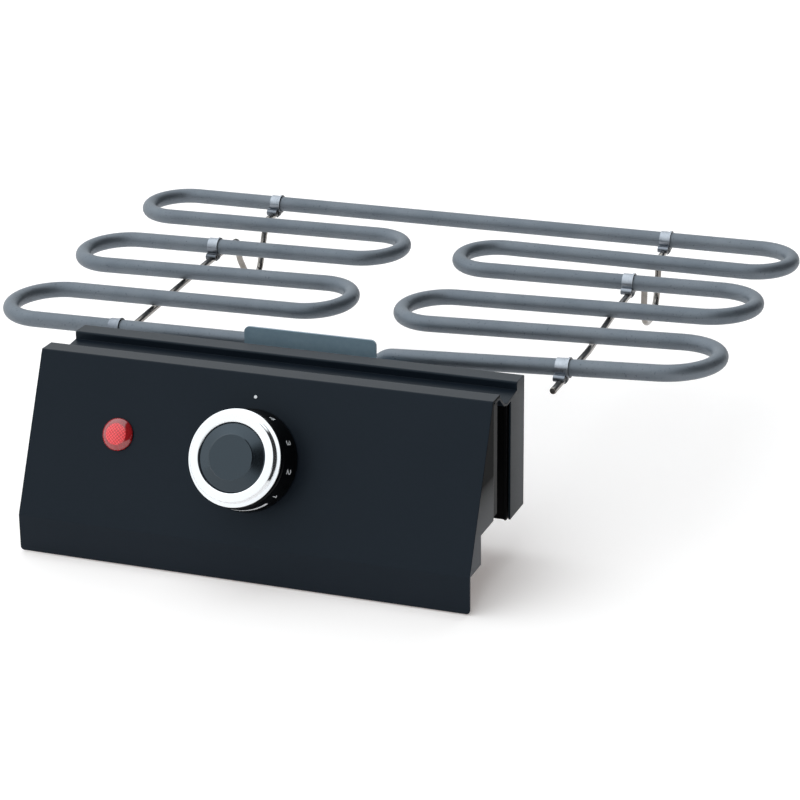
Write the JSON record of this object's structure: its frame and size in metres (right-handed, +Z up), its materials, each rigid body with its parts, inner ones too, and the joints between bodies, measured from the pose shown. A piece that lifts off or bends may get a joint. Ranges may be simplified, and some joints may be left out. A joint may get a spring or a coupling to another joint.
{
  "type": "table grill heating unit",
  "caption": "Plug-in heating unit of an electric table grill: sloped control box with thermostat knob and pilot lamp, slot for the tray rim, and a serpentine heating tube behind.",
  "frame": {"origin": "middle of the ceiling of the slot that takes the tray's rim", "axes": "+X to the right seen from the user's side, -Y towards the user, +Z up; the heating tube reaches out along +Y"},
  "size_m": [0.393, 0.3602, 0.0926],
  "materials": {
    "cover_black": "satin dark blue-black enamel",
    "cover_grey": "satin grey enamel",
    "dark_sheet": "satin black",
    "plain_sheet": "plain steel sheet",
    "shield_sheet": "blue-grey aluminised sheet",
    "tube": "satin slate grey heating tube",
    "spring_wire": "dark shiny steel wire",
    "bright_steel": "bright steel",
    "zinc": "zinc plated",
    "knob_plastic": "black",
    "knob_chrome": "bright",
    "cap_plastic": "slate grey gloss",
    "lens_red": "translucent red",
    "black_plastic": "black",
    "switch_plastic": "off-white",
    "white_paint": "printed white dot",
    "ceramic_white": "steatite",
    "silicone_lead": "silicone sleeve",
    "seal_silicone": "silicone",
    "brass_part": "plain"
  },
  "bodies": {
    "unit": {"front_cover": "cover_black", "control_housing": "dark_sheet", "rear_cover": "cover_grey", "slot_rear_plate": "dark_sheet", "slot_ceiling": "dark_sheet", "rear_bottom_plate": "dark_sheet", "element_bracket": "shield_sheet", "heating_tube": "tube", "element_seal_left": "seal_silicone", "element_seal_right": "seal_silicone", "terminal_pin_left": "bright_steel", "terminal_pin_right": "bright_steel", "leg_bushing_left": "zinc", "leg_bushing_right": "zinc", "leg_nuts": "zinc", "support_wire_right": "spring_wire", "support_wire_left": "spring_wire", "element_clips_right": "bright_steel", "element_clips_left": "bright_steel", "thermostat_body": "ceramic_white", "thermostat_tabs": "bright_steel", "thermostat_screws": "zinc", "lamp_lens": "lens_red", "lamp_body": "black_plastic", "lamp_clip": "bright_steel", "setting_mark": "white_paint", "cord_gland": "black_plastic", "gland_nut": "black_plastic", "terminal_block": "switch_plastic", "terminal_screws": "brass_part", "safety_switch": "black_plastic", "thermal_cutout": "ceramic_white", "spacer_posts": "zinc", "case_screws": "zinc", "bracket_screws": "zinc", "earth_tab": "brass_part", "lead_supply": "silicone_lead", "lead_switch": "silicone_lead", "lead_element_right": "silicone_lead", "lead_element_left": "silicone_lead"},
    "knob": {"knob_body": "knob_plastic", "knob_ring": "knob_chrome", "knob_cap": "cap_plastic", "thermostat_shaft": "bright_steel"},
    "safety_button": {"safety_plunger": "switch_plastic"}
  },
  "joints": [
    {"name": "knob_turn", "type": "hinge", "parent": "unit", "child": "knob", "pos_m": [0, -0.03469, -0.02297], "axis": [0, -0.9113, 0.4117], "range_deg": [0, 210]},
    {"name": "safety_button_press", "type": "slide", "parent": "unit", "child": "safety_button", "axis": [0, -1, 0], "range_m": [0, 0.003], "stiffness_N_per_m": 150}
  ]
}
